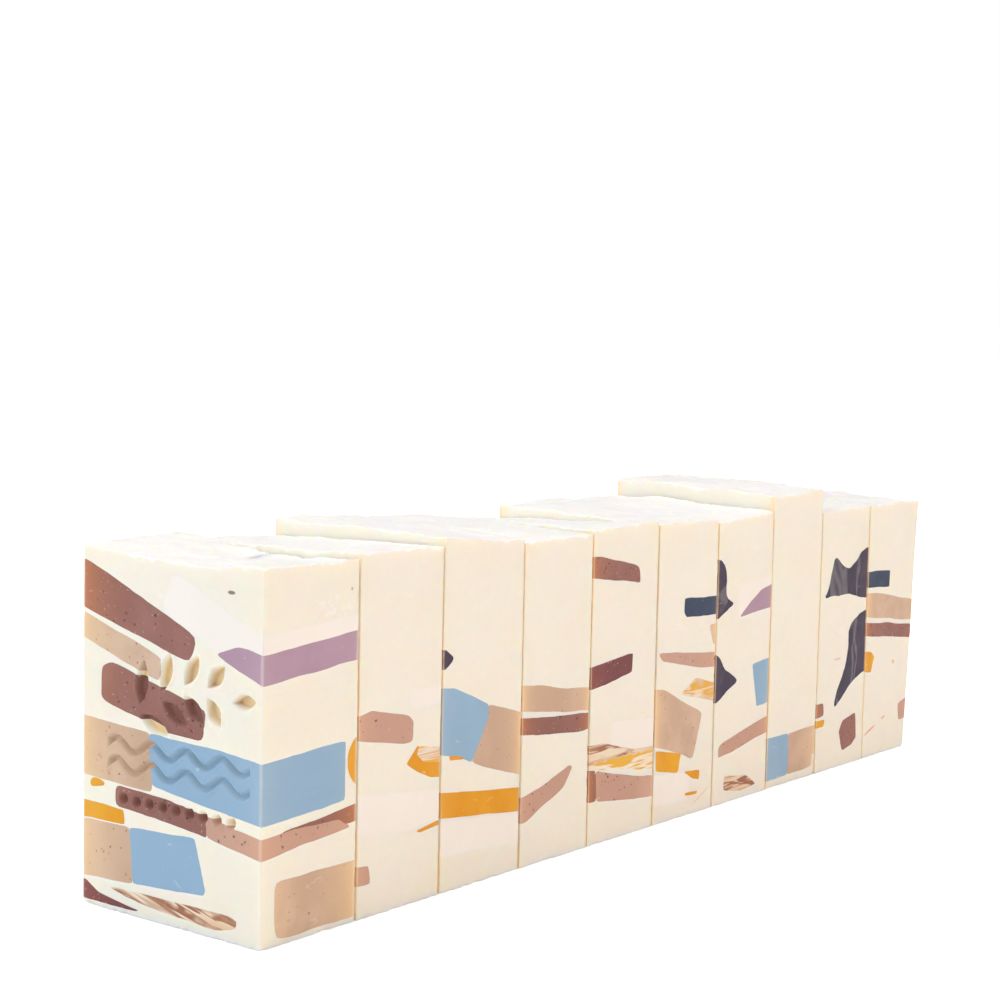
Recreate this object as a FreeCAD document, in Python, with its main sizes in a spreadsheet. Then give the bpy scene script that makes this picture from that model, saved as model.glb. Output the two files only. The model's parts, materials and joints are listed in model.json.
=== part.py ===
"""A cut soap loaf: ten separate bars standing in a row, each a cream block with coloured
soap offcuts set into it. The front bar carries a pressed leaf sprig, waves and dots.

Millimetres. The origin is at the bottom centre of the loaf, +Z is up, +Y runs along the loaf
from the pressed front bar to the back bar, and +X points out of its right-hand side.
Outlines on a side of the loaf are (distance from the loaf's front, height); outlines on an
end of the loaf are (X, height). An outline that overshoots a bar is trimmed by the bar."""

import FreeCAD, Part

import math
import os

import Sketcher

doc = FreeCAD.newDocument("soap_loaf")
sheet = doc.addObject("Spreadsheet::Sheet", "Sizes")
vector = FreeCAD.Vector

BAR_THICKNESSES = (29.3, 27.6, 29.1, 27.2, 28.4, 28.0, 27.8, 26.8, 28.1, 31.0)
BAR_COUNT = len(BAR_THICKNESSES)

# Each bar's poured top, as heights at its left edge, middle and right edge.
BAR_TOPS = (
    (79.8, 77.6, 78.6),
    (78.0, 79.0, 79.4),
    (81.2, 80.6, 80.0),
    (79.0, 78.9, 77.8),
    (76.9, 78.2, 79.0),
    (79.6, 79.2, 78.0),
    (78.5, 78.8, 77.2),
    (83.9, 83.6, 82.4),
    (77.4, 77.2, 76.3),
    (76.8, 77.0, 76.4),
)

# How much narrower a bar is on its left side than the widest ones.
BAR_LEFT_INSETS = (0.0, 0.0, 1.6, 0.3, 0.0, 2.0, 0.4, 1.2, 0.2, 0.0)


# ---- the sheet of driving dimensions -------------------------------------------------------


def size(alias, value):
    """Adds one named dimension to the sheet and returns its alias."""
    size.row += 1
    sheet.set(f"A{size.row}", alias)
    sheet.set(f"B{size.row}", str(value))
    sheet.setAlias(f"B{size.row}", alias)
    return alias


size.row = 0
size("bar_width", 54.5)
size("seam_gap", 0.5)
size("trim", 2.0)  # how far a chunk or the stamp starts outside the face that trims it
size("stamp_depth", 1.6)
for number in range(1, BAR_COUNT + 1):
    size(f"thickness_{number:02d}", BAR_THICKNESSES[number - 1])
    size(f"left_inset_{number:02d}", BAR_LEFT_INSETS[number - 1])
    for place, height in zip(("left", "middle", "right"), BAR_TOPS[number - 1]):
        size(f"top_{place}_{number:02d}", height)
# The last bar is a wedge: its outer face leans out from its foot to its top.
size("end_foot_inset", 4.9)
size("end_height", 76.8)
thickness_sum = " + ".join(f"thickness_{n:02d}" for n in range(1, BAR_COUNT + 1))
size("loaf_length", f"={thickness_sum} + {BAR_COUNT - 1} * seam_gap")
for number in range(1, BAR_COUNT + 1):
    before = [f"thickness_{n:02d} + seam_gap" for n in range(1, number)]
    size(f"front_{number:02d}", "=" + " + ".join(["-loaf_length / 2", *before]))
doc.recompute()


# ---- sketches and bodies -------------------------------------------------------------------


def origin_plane(body, role):
    return next(f for f in body.Origin.OriginFeatures if f.Role == role)


def new_sketch(body, name, role):
    sketch = body.newObject("Sketcher::SketchObject", name)
    sketch.AttachmentSupport = [(origin_plane(body, role), "")]
    sketch.MapMode = "FlatFace"
    return sketch


def draw_polygon(sketch, points):
    """Closed straight-sided outline, its corners joined by constraints."""
    corners = [vector(a, b, 0) for a, b in points]
    first = sketch.GeometryCount
    for start, end in zip(corners, corners[1:] + corners[:1]):
        sketch.addGeometry(Part.LineSegment(start, end), False)
    count = len(corners)
    for side in range(count):
        after = (side + 1) % count
        joint = Sketcher.Constraint("Coincident", first + side, 2, first + after, 1)
        sketch.addConstraint(joint)


def draw_smooth(sketch, points):
    """Closed rounded outline: one curve through all the points."""
    curve = Part.BSplineCurve()
    curve.interpolate(Points=[vector(a, b, 0) for a, b in points], PeriodicFlag=True)
    sketch.addGeometry(curve, False)


# Sketch plane, sign of its offset along its normal, and the way into the loaf, by face.
FACES = {
    "right": ("YZ_Plane", "Sizes.bar_width / 2 + Sizes.trim", (-1, 0)),
    "left": ("YZ_Plane", "-Sizes.bar_width / 2 - Sizes.trim", (1, 0)),
    "front": ("XZ_Plane", "Sizes.loaf_length / 2 + Sizes.trim", (0, 1)),
    "back": ("XZ_Plane", "-Sizes.loaf_length / 2 - Sizes.trim", (0, -1)),
}


def make_chunk(name, outline, face="right", depth=60.0, lean=0.0, smooth=False):
    """One coloured offcut: an outline on a face of the loaf, run into it by depth.

    lean is how much it climbs for each millimetre inwards."""
    role, offset, way = FACES[face]
    along_side = face in ("right", "left")
    half_length = sheet.loaf_length / 2
    points = [(a - half_length, b) if along_side else (a, b) for a, b in outline]
    body = doc.addObject("PartDesign::Body", name)
    sketch = new_sketch(body, name + "_outline", role)
    sketch.setExpression("AttachmentOffset.Base.z", offset)
    draw = draw_smooth if smooth else draw_polygon
    draw(sketch, points)
    pad = body.newObject("PartDesign::Pad", name + "_run")
    pad.Profile = sketch
    pad.UseCustomVector = True
    pad.Direction = vector(way[0], way[1], lean)
    pad.AlongSketchNormal = True
    size(name + "_depth", depth)
    pad.setExpression("Length", f"Sizes.{name}_depth + Sizes.trim")
    return body


def make_blank(number):
    """The bar's whole block, before the chunks are taken out of it."""
    tag = f"{number:02d}"
    body = doc.addObject("PartDesign::Body", "blank_" + tag)
    sketch = new_sketch(body, "blank_profile_" + tag, "XZ_Plane")
    half = sheet.bar_width / 2
    left, middle, right = BAR_TOPS[number - 1]
    left_x = -half + BAR_LEFT_INSETS[number - 1]
    draw_polygon(sketch, [(left_x, 0), (half, 0), (half, right), (0, middle), (left_x, left)])
    bottom, right_side, right_top, left_side = 0, 1, 2, 4
    sketch.addConstraint(Sketcher.Constraint("Horizontal", bottom))
    sketch.addConstraint(Sketcher.Constraint("Vertical", right_side))
    sketch.addConstraint(Sketcher.Constraint("Vertical", left_side))
    sketch.addConstraint(Sketcher.Constraint("PointOnObject", bottom, 1, -1))
    sketch.addConstraint(Sketcher.Constraint("PointOnObject", right_top, 2, -2))
    sized = (
        ("width", ("DistanceX", bottom, 1, bottom, 2), "bar_width - Sizes.left_inset_" + tag),
        ("right_edge", ("DistanceX", -1, 1, bottom, 2), "bar_width / 2"),
        ("right_height", ("DistanceY", right_side, 1, right_side, 2), "top_right_" + tag),
        ("middle_height", ("DistanceY", -1, 1, right_top, 2), "top_middle_" + tag),
        ("left_height", ("DistanceY", left_side, 2, left_side, 1), "top_left_" + tag),
    )
    for name, (kind, *places), expression in sized:
        index = sketch.addConstraint(Sketcher.Constraint(kind, *places, 1.0 + half))
        sketch.renameConstraint(index, name)
        sketch.setExpression("Constraints." + name, "Sizes." + expression)
    pad = body.newObject("PartDesign::Pad", "blank_thickness_" + tag)
    pad.Profile = sketch
    pad.Reversed = True
    pad.setExpression("Length", "Sizes.thickness_" + tag)
    if number == BAR_COUNT:
        lean_end(body)
    body.setExpression("Placement.Base.y", "Sizes.front_" + tag)
    return body


def lean_end(body):
    """Cuts the end bar's outer face to its lean, from the top line down to the foot."""
    sketch = new_sketch(body, "end_lean_profile", "YZ_Plane")
    thickness, inset, height = sheet.thickness_10, sheet.end_foot_inset, sheet.end_height
    slope = inset / height
    reach = 6.0
    foot = (thickness - inset - slope * reach, -reach)
    head = (thickness + slope * reach, height + reach)
    draw_polygon(sketch, [foot, (thickness + 2 * reach, foot[1]), (thickness + 2 * reach, head[1]), head])
    pocket = body.newObject("PartDesign::Pocket", "end_lean_cut")
    pocket.Profile = sketch
    pocket.Type = "ThroughAll"
    pocket.Midplane = True


# ---- the pressed motif on the front bar ----------------------------------------------------


def draw_leaf(sketch, base, angle, length, width):
    """A leaf between two arcs, from its base point along an angle in degrees."""
    turn = math.radians(angle)
    along = vector(math.cos(turn), math.sin(turn), 0)
    across = vector(-along.y, along.x, 0)
    start = vector(base[0], base[1], 0)
    tip = start + along * length
    middle = start + along * (length / 2)
    for side in (1, -1):
        bulge = middle + across * (side * width / 2)
        sketch.addGeometry(Part.Arc(start, bulge, tip), False)


def draw_wave(sketch, left, right, height, swing, width, waves):
    """A wavy groove of even width, from two sine curves and two short ends."""
    steps = 8 * waves
    edges = []
    for side in (1, -1):
        points = []
        for step in range(steps + 1):
            share = step / steps
            rise = swing * math.sin(2 * math.pi * waves * share)
            points.append(vector(left + (right - left) * share, height + rise + side * width / 2, 0))
        curve = Part.BSplineCurve()
        curve.interpolate(Points=points)
        sketch.addGeometry(curve, False)
        edges.append(points)
    for end in (0, -1):
        sketch.addGeometry(Part.LineSegment(edges[0][end], edges[1][end]), False)


def pressed(name, drawer):
    """One pressed-in shape, a pad that reaches stamp_depth into the front face."""
    body = doc.addObject("PartDesign::Body", name)
    sketch = new_sketch(body, name + "_outline", "XZ_Plane")
    sketch.setExpression("AttachmentOffset.Base.z", "Sizes.loaf_length / 2 + Sizes.trim")
    drawer(sketch)
    pad = body.newObject("PartDesign::Pad", name + "_press")
    pad.Profile = sketch
    pad.Reversed = True
    pad.setExpression("Length", "Sizes.trim + Sizes.stamp_depth")
    return body


LEAF_PAIRS = 4
LEAF_WIDTH = 3.6
LEAF_SPREAD = 52.0
LEAF_FOOT_GAP = 1.1
WAVE_HEIGHTS = (37.0, 32.5)
WAVE_SWING = 1.3
WAVE_WIDTH = 1.7
DOT_COUNT = 9
DOT_PITCH = 4.1
DOT_RADIUS = 1.25


def stem_point(share):
    """A point on the sprig's gently curved stem, from its foot (0) to its tip (1)."""
    return (-12.0 + 31.0 * share, 43.5 + 7.0 * share + 4.0 * math.sin(math.pi * share))


def leaf_places():
    """Each leaf's name, foot, angle and length, in pairs up the stem."""
    for pair in range(LEAF_PAIRS):
        share = 0.10 + 0.22 * pair
        x, z = stem_point(share)
        ahead = stem_point(share + 0.05)
        heading = math.degrees(math.atan2(ahead[1] - z, ahead[0] - x))
        length = 9.6 - 0.9 * pair
        for side, word in ((1, "upper"), (-1, "lower")):
            foot = (x, z + side * LEAF_FOOT_GAP)
            yield f"stamp_{word}_leaf_{pair + 1}", foot, heading + side * LEAF_SPREAD, length


def leaf_drawer(foot, angle, length, width=LEAF_WIDTH):
    return lambda sketch: draw_leaf(sketch, foot, angle, length, width)


def wave_drawer(height):
    left, right, waves = -19.0, 24.0, 4
    return lambda sketch: draw_wave(sketch, left, right, height, WAVE_SWING, WAVE_WIDTH, waves)


def dot_drawer(number):
    centre = vector(-14.0 + DOT_PITCH * number, 25.3, 0)
    circle = Part.Circle(centre, vector(0, 0, 1), DOT_RADIUS)
    return lambda sketch: sketch.addGeometry(circle, False)


def make_stamp():
    """The leaf sprig, two waves and a row of dots, as one cutting tool."""
    shapes = []
    for name, foot, angle, length in leaf_places():
        shapes.append(pressed(name, leaf_drawer(foot, angle, length)))
    shapes.append(pressed("stamp_tip_leaf", leaf_drawer(stem_point(1.0), 8, 6.5, 3.4)))
    for row, height in enumerate(WAVE_HEIGHTS):
        shapes.append(pressed(f"stamp_wave_{row + 1}", wave_drawer(height)))
    for dot in range(DOT_COUNT):
        shapes.append(pressed(f"stamp_dot_{dot + 1}", dot_drawer(dot)))
    stamp = doc.addObject("Part::Compound", "stamp")
    stamp.Links = shapes
    return stamp


# ---- the coloured chunks of each bar -------------------------------------------------------
# Within a bar the colours are in order: where two meet, the earlier one keeps the space.


def bar_01():
    front = {"face": "front", "lean": 0.09}
    return {
        "pink": [
            dict(outline=[(-3, 22), (10, 22.8), (24, 22.6), (27.5, 20.3), (14, 19.2), (-3, 17.2)],
                 depth=16, lean=0.19),
        ],
        "brown": [
            dict(outline=[(-30, 76.7), (-25.5, 75.7), (8, 62.5), (6, 57), (-14, 62.3), (-30, 67.4)],
                 depth=24, **front),
            dict(outline=[(-21.3, 46.5), (-21, 53), (-18, 54.2), (11, 47.5), (10, 41), (0, 41.5),
                          (-20, 45.5)], depth=20, **front),
            dict(outline=[(-16.5, 23), (-16.5, 27.5), (0, 26.8), (14, 24.5), (30, 21.6), (30, 18.2),
                          (20, 19.8), (0, 22)], depth=34, face="front", lean=0.11),
        ],
        "tan": [
            dict(outline=[(-30, 66.3), (-2.5, 56.8), (-3, 52), (-15, 55), (-30, 61)],
                 depth=22, **front),
            dict(outline=[(-30, 42.1), (-6, 40.5), (-5, 28), (-30, 29)],
                 depth=26, face="front", lean=0.04),
            dict(outline=[(-30, 18.5), (-12, 19), (-11, 7), (-30, 6)],
                 depth=21, face="front", lean=0.03),
            dict(outline=[(4.5, 13.5), (32, 13.4), (32, 1.4), (5, 1.4)], depth=12),
        ],
        "blue": [
            dict(outline=[(-6, 40.5), (15, 39.7), (30, 38), (30, 25.2), (10, 27.5), (-5, 29.5)],
                 depth=25.5, face="front", lean=0.05),
            dict(outline=[(-12, 19), (7.8, 20), (11, 9.5), (10.5, 8.5), (-11, 7)],
                 depth=16, face="front", lean=0.03),
        ],
        "lilac": [
            dict(outline=[(14, 59.7), (20, 61.7), (23, 61.5), (30, 59), (30, 52), (25, 54.5),
                          (20, 57)], depth=34, **front),
        ],
        "white": [
            dict(outline=[(-2, 67), (-1.5, 70), (0.5, 74.8), (3, 74.8), (13, 70), (30, 61.5),
                          (30, 58.5), (14, 60), (8, 63)], depth=34, **front),
        ],
        "mustard": [
            dict(outline=[(-30, 23), (-14, 22.3), (-13.5, 19.3), (-30, 19)], depth=14, **front),
            dict(outline=[(-24.5, 27.2), (-22.5, 28.4), (-20.3, 27.6), (-22.5, 26.8)],
                 depth=6, face="front", smooth=True),
            dict(outline=[(32, 41), (27.2, 38.5), (26.5, 35), (27.5, 31.8), (32, 29)],
                 depth=9, smooth=True),
        ],
        "plum": [
            dict(outline=[(-30, 6), (-26, 5.3), (-22, 3.2), (-9, 1.4), (-30, 1.2)],
                 depth=18, face="front"),
        ],
        "marbled": [
            dict(outline=[(-19, 5.2), (0, 5.2), (18, 5.7), (20.5, 5), (20, 3.3), (14, 2), (-8, 3.2)],
                 depth=12, face="front"),
        ],
    }


def bar_02():
    return {
        "pink": [
            dict(outline=[(27, 41), (30.5, 44), (34, 44.7), (46, 42.2), (48, 40.5), (47.8, 36.2),
                          (45, 36), (27, 40)], depth=26, lean=0.1),
            dict(outline=[(27, 12.4), (33.3, 11.4), (34, 7.2), (27, 8.2)], depth=10),
            dict(outline=[(33, 62), (50, 66), (51, 60), (34, 56.5)], depth=20, face="left"),
        ],
        "marbled": [
            dict(outline=[(50, 35.8), (60, 32.8), (60, 30), (52, 32), (49.5, 34)],
                 depth=22, lean=-0.1),
        ],
        "mustard": [
            dict(outline=[(46, 32.5), (49.5, 35.8), (60, 33), (60, 26.5), (54, 28.3), (50, 30)],
                 depth=22, lean=-0.1),
            dict(outline=[(49.5, 16), (60, 18.3), (60, 17.2), (51, 15.6)], depth=8),
        ],
        "white": [
            dict(outline=[(46.8, 48.5), (60, 47.6), (60, 44.4), (47, 45)], depth=18, lean=-0.05),
            dict(outline=[(27, 27.7), (60, 23.2), (60, 17.2), (45, 16.5), (27, 19.7)],
                 depth=46, lean=0.08),
        ],
    }


def bar_03():
    return {
        "navy": [
            dict(outline=[(54, 54), (56, 57), (59.2, 55), (61, 53.4), (59.4, 51.8), (56, 50.6)],
                 depth=12, smooth=True),
        ],
        "mustard": [
            dict(outline=[(55, 23.9), (70, 21.3), (90, 18.3), (90, 13), (70, 15.8), (55, 18.1)],
                 depth=44, lean=0.06),
            dict(outline=[(60.5, 31.5), (65.5, 30.5), (65.5, 29.8), (61, 30.4)], depth=5),
        ],
        "blue": [
            dict(outline=[(55, 48.2), (62, 47), (74.5, 42), (74.7, 39.5), (68.5, 29.2), (64, 30.8),
                          (55, 33.8)], depth=34, lean=-0.1),
            dict(outline=[(60, 66), (76, 62), (75, 54), (61, 58)], depth=18, face="left"),
        ],
        "tan": [
            dict(outline=[(74.5, 42), (90, 35.8), (90, 21), (68.5, 29.2), (74.7, 39.5)],
                 depth=34, lean=-0.1),
        ],
        "white": [
            dict(outline=[(55, 17.3), (90, 12.4), (90, 5), (75, 7.5), (55, 8.6)],
                 depth=46, lean=0.06),
        ],
    }


def bar_04():
    return {
        "tan": [
            dict(outline=[(85, 45.4), (95, 43.8), (105, 41.5), (117, 40), (117, 34.9), (105, 36),
                          (85, 39.5)], depth=46, lean=-0.12),
            dict(outline=[(92, 26), (108, 23), (107, 14), (93, 16)], depth=18, face="left"),
        ],
        "brown": [
            dict(outline=[(85, 37.3), (100, 35.3), (117, 34.1), (114.8, 31.5), (112.5, 30.3),
                          (109, 30.3), (85, 33.6)], depth=38, lean=-0.12),
            dict(outline=[(90, 60), (110, 66), (111, 61), (91, 54)], depth=16, face="left"),
        ],
        "pink": [
            dict(outline=[(85, 15.1), (95, 17.3), (107, 21), (108.3, 20.5), (105, 16.3), (98, 13.5),
                          (90, 10.3), (85, 10.1)], depth=24, lean=0.15),
        ],
    }


def bar_05():
    return {
        "brown": [
            dict(outline=[(113, 73.4), (118, 73.2), (135.3, 69.3), (135.5, 65.5), (132, 65.8),
                          (113, 69.2)], depth=27, lean=-0.2),
            dict(outline=[(113, 19.2), (118, 18), (118.4, 10.4), (113, 11.3)], depth=30, lean=0.1),
        ],
        "plum": [
            dict(outline=[(113, 43.5), (131, 45.6), (133, 45.5), (132.8, 41), (124, 39.7),
                          (113, 37.9)], depth=20, lean=0.12),
            dict(outline=[(119, 60), (138, 56), (137, 51), (119, 54)], depth=14, face="left"),
        ],
        "white": [
            dict(outline=[(124.5, 29.5), (146, 27.2), (146, 20.2), (133, 21.5), (124.5, 23.5)],
                 depth=22, lean=0.1),
        ],
        "pink": [
            dict(outline=[(118, 18), (130, 15), (146, 11.5), (146, 7), (130, 8.8), (118.4, 10.4)],
                 depth=30, lean=0.1),
        ],
        "marbled": [
            dict(outline=[(113, 24.6), (121, 24.5), (135, 21), (146, 19.8), (146, 13.7),
                          (130, 16.5), (113, 19.8)], depth=46, lean=0.1),
        ],
    }


def bar_06():
    return {
        "teal": [
            dict(outline=[(156.5, 57.3), (175, 56.6), (175, 52), (157.5, 52.5), (156.5, 53.8)],
                 depth=14, lean=0.1),
        ],
        "marbled": [
            dict(outline=[(156, 33.5), (163, 37), (168, 35.5), (175, 32), (175, 28), (165, 31),
                          (160, 32.5)], depth=16, lean=-0.1),
        ],
        "mustard": [
            dict(outline=[(144.7, 19.3), (156.5, 17), (155, 12.3), (145, 14.2)], depth=22),
            dict(outline=[(158.5, 11.8), (166, 11.2), (165.5, 9), (163, 9.5)], depth=6),
            dict(outline=[(159, 6), (165, 5.8), (164.5, 5.2), (160, 5.4)], depth=4),
        ],
        "tan": [
            dict(outline=[(141, 37.9), (147, 36), (166.5, 27.5), (162.5, 16), (161, 16),
                          (141, 23.6)], depth=60, lean=-0.15),
            dict(outline=[(169.3, 49.8), (175, 50.2), (175, 41), (171, 44.5)], depth=10),
            dict(outline=[(146, 66), (160, 62), (160, 56), (146, 59)], depth=18, face="left"),
        ],
        "pink": [
            dict(outline=[(145, 44.4), (155, 43.2), (175, 40.6), (175, 37), (166, 38.3), (147, 42)],
                 depth=30, lean=0.1),
        ],
        "white": [
            dict(outline=[(141, 14), (155, 12), (161, 11), (161, 4.5), (141, 5.4)], depth=26),
        ],
    }


def bar_07():
    return {
        "navy": [
            dict(outline=[(169, 66), (175.5, 64.5), (176.5, 60), (177.5, 55.5), (180, 54),
                          (175.5, 52), (169, 50)], depth=20, lean=0.1, smooth=True),
            dict(outline=[(169, 42.5), (175, 40), (178, 36.5), (183.3, 33.7), (178, 30.8),
                          (174, 28.5), (169, 28.5)], depth=16, lean=-0.1, smooth=True),
        ],
        "lilac": [
            dict(outline=[(184.3, 51), (190, 55), (195, 57.5), (203, 60), (203, 52.5), (193, 51.8)],
                 depth=26, lean=-0.12),
        ],
        "white": [
            dict(outline=[(183.5, 59.5), (203, 61.8), (203, 59.5), (190, 54.5), (184, 51)],
                 depth=22, lean=-0.12),
        ],
        "blue": [
            dict(outline=[(191.7, 36), (203, 36.9), (203, 25.5), (197, 24), (194.5, 24)],
                 depth=60, lean=0.12),
            dict(outline=[(175, 72), (190, 70), (189, 60), (176, 62)], depth=18, face="left"),
        ],
        "pink": [
            dict(outline=[(175, 16.5), (182, 18), (203, 22.8), (203, 18.2), (182, 14), (175, 13.3)],
                 depth=34, lean=-0.05),
            dict(outline=[(184, 46), (203, 43), (203, 39), (184, 41)], depth=14, face="left"),
        ],
        "marbled": [
            dict(outline=[(178.5, 7.3), (189, 6.2), (195, 2.6), (187, 2.3), (178.3, 3.5)], depth=18),
        ],
    }


def bar_08():
    return {
        "blue": [
            dict(outline=[(198, 14), (212.3, 14), (212.3, 2.2), (198, 2.2)], depth=30, lean=0.05),
            dict(outline=[(203, 66), (218, 62), (216, 56), (204, 59)], depth=14, face="left"),
        ],
        "tan": [
            dict(outline=[(212.3, 14), (230, 14), (230, 7), (226, 6), (225.8, 2.5), (212.3, 2.2)],
                 depth=30, lean=0.05),
            dict(outline=[(205, 40), (222, 46), (224, 38), (207, 32)], depth=20, face="left"),
        ],
    }


def bar_09():
    return {
        "navy": [
            dict(outline=[(231.8, 52.3), (234, 57), (236, 61.8), (242, 59.2), (248, 60),
                          (254, 63.7), (260, 64), (260, 51), (250, 50.5), (242, 51.8)],
                 depth=26, lean=-0.1, smooth=True),
            dict(outline=[(251.8, 44), (260, 42), (260, 30), (254.5, 26.5), (245, 21.5),
                          (239, 18.3), (241, 23.5), (244.5, 29), (245.5, 35), (247, 41)],
                 depth=18, lean=0.1, smooth=True),
        ],
        "brown": [
            dict(outline=[(241.8, 10.5), (243.8, 13.5), (251.3, 15), (252.3, 7.2), (249.5, 5.5),
                          (244, 4.5)], depth=16),
            dict(outline=[(226, 20), (232, 20.2), (232.3, 16.5), (226, 15.5)], depth=12),
            dict(outline=[(232, 40), (246, 45), (248, 39), (233, 34)], depth=16, face="left"),
        ],
        "mustard": [
            dict(outline=[(226, 15.5), (233, 15), (232.5, 13.3), (226, 13)], depth=12),
            dict(outline=[(236, 66), (250, 69), (250, 65), (236, 62)], depth=10, face="left"),
        ],
    }


def bar_10():
    return {
        "teal": [
            dict(outline=[(255, 56.2), (270.2, 55.3), (270.2, 50.3), (255, 51.6)],
                 depth=22, lean=0.1),
            dict(outline=[(-10, 20), (12, 22), (14, 10), (-9, 8)], depth=16, face="back"),
        ],
        "mustard": [
            dict(outline=[(255, 32.7), (260, 32), (262, 30.5), (260.5, 26), (255, 27.8)], depth=10),
            dict(outline=[(-30, 27), (-13, 25), (-12, 20.5), (-30, 22)], depth=14, face="back"),
        ],
        "tan": [
            dict(outline=[(255, 49.2), (262, 48.7), (288, 43.7), (288, 37.8), (270, 40.5),
                          (255, 42.8)], depth=46, lean=0.14),
            dict(outline=[(-30, 17), (-13, 18), (-12, 6), (-30, 5)], depth=20, face="back"),
        ],
        "brown": [
            dict(outline=[(255, 40.7), (270, 39), (288, 36), (288, 31.9), (270, 35), (255, 37)],
                 depth=40, lean=0.14),
        ],
        "pink": [
            dict(outline=[(278.6, 13.9), (287, 16.4), (287, 9.3), (279.6, 8.7)], depth=9),
            dict(outline=[(-22, 60), (12, 70), (13, 64), (-21, 54)], depth=20, face="back"),
        ],
    }


BARS = (bar_01, bar_02, bar_03, bar_04, bar_05, bar_06, bar_07, bar_08, bar_09, bar_10)


# ---- trimming chunks and blocks against each other -----------------------------------------


def as_one(name, shapes):
    """The shape itself, or one union of several."""
    if len(shapes) == 1:
        return shapes[0]
    union = doc.addObject("Part::MultiFuse", name)
    union.Shapes = shapes
    return union


def boolean(kind, name, base, tool):
    result = doc.addObject(kind, name)
    result.Base = base
    result.Tool = tool
    return result


def make_bar(number, stamp):
    """All of one bar's sub-parts: its cream block, and one node for each colour in it."""
    tag = f"{number:02d}"
    blank = make_blank(number)
    if number == 1:
        blank = boolean("Part::Cut", "blank_pressed", blank, stamp)
    made, taken = [], []
    for colour, chunks in BARS[number - 1]().items():
        label = f"bar_{tag}_{colour}_chunks"
        bodies = [make_chunk(f"{colour}_{tag}_{i + 1}", **c) for i, c in enumerate(chunks)]
        tool = as_one(f"{colour}_{tag}_all", bodies)
        piece = boolean("Part::Common", f"{colour}_{tag}_inside", blank, tool)
        if taken:
            others = as_one(f"{colour}_{tag}_earlier", list(taken))
            piece = boolean("Part::Cut", f"{colour}_{tag}_piece", piece, others)
        piece.Label = label
        taken.append(tool)
        made.append(piece)
    base = boolean("Part::Cut", f"block_{tag}", blank, as_one(f"chunks_{tag}", taken))
    base.Label = f"bar_{tag}_cream_block"
    return [base, *made]


def check(sub_parts):
    """Stops on any failed object, and on any sub-part with no valid solid."""
    failed = [o.Name for o in doc.Objects if {"Invalid", "Error"} & set(o.State)]
    if failed:
        raise RuntimeError(f"failed objects: {failed}")
    for part in sub_parts:
        shape = part.Shape
        if shape.isNull() or not shape.isValid() or not shape.Solids:
            raise RuntimeError(f"{part.Label} has no valid solid")


def main():
    stamp = make_stamp()
    sub_parts = []
    for number in range(1, BAR_COUNT + 1):
        sub_parts += make_bar(number, stamp)
    doc.recompute()
    check(sub_parts)
    os.makedirs("parts", exist_ok=True)
    for part in sub_parts:
        part.Shape.exportStep(f"parts/{part.Label}.step")
        box = part.Shape.BoundBox
        print(f"{part.Label}: {len(part.Shape.Solids)} solids, {part.Shape.Volume / 1000:.2f} cm3, "
              f"X {box.XMin:.2f} {box.XMax:.2f} Y {box.YMin:.2f} {box.YMax:.2f} "
              f"Z {box.ZMin:.2f} {box.ZMax:.2f}")
    print(len(sub_parts), "nodes")


main()
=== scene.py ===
"""The looks of a cut soap loaf: ten cream bars with coloured soap chunks cast into them.

Every bar is shaped once as a rough block (poured top, wire-cut faces, worn edges and, on the
front bar, a pressed relief). The coloured chunks of the CAD model are softened and cut out of
that block, so that chunk and cream meet flush. Shapes are made in millimetres and stored in
metres."""

import itertools
import json
import math

import bmesh
import bpy
import numpy as np
from mathutils import Matrix, Vector

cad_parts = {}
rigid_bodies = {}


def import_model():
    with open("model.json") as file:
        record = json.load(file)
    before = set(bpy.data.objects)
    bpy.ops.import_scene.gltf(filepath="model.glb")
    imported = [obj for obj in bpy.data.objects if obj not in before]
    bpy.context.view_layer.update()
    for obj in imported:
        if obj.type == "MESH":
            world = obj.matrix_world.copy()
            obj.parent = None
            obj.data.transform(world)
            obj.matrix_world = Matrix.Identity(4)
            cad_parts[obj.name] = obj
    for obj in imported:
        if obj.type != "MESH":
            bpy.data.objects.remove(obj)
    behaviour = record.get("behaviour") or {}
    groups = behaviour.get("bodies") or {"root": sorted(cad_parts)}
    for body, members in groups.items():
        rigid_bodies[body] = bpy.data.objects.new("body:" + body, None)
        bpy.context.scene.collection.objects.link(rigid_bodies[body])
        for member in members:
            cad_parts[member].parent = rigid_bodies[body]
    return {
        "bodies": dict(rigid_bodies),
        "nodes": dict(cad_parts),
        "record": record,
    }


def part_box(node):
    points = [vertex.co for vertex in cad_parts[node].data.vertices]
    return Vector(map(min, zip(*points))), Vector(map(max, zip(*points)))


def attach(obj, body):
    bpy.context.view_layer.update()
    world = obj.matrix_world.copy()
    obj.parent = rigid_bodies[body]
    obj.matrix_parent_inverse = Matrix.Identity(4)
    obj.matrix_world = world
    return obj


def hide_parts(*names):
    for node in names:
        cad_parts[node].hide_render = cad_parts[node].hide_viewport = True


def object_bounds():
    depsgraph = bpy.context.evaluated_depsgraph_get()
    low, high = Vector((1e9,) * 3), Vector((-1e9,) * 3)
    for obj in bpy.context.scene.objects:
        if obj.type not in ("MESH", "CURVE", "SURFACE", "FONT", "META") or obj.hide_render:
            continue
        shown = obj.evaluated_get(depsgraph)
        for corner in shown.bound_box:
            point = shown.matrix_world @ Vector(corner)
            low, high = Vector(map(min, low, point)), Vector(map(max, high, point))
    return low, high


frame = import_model()
cad_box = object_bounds()

MM = 0.001
LOAF_TOP = cad_box[1][2] / MM
BARS = sorted(frame["bodies"])
FRONT_BAR = BARS[0]
CREAM = "cream_block"

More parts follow.
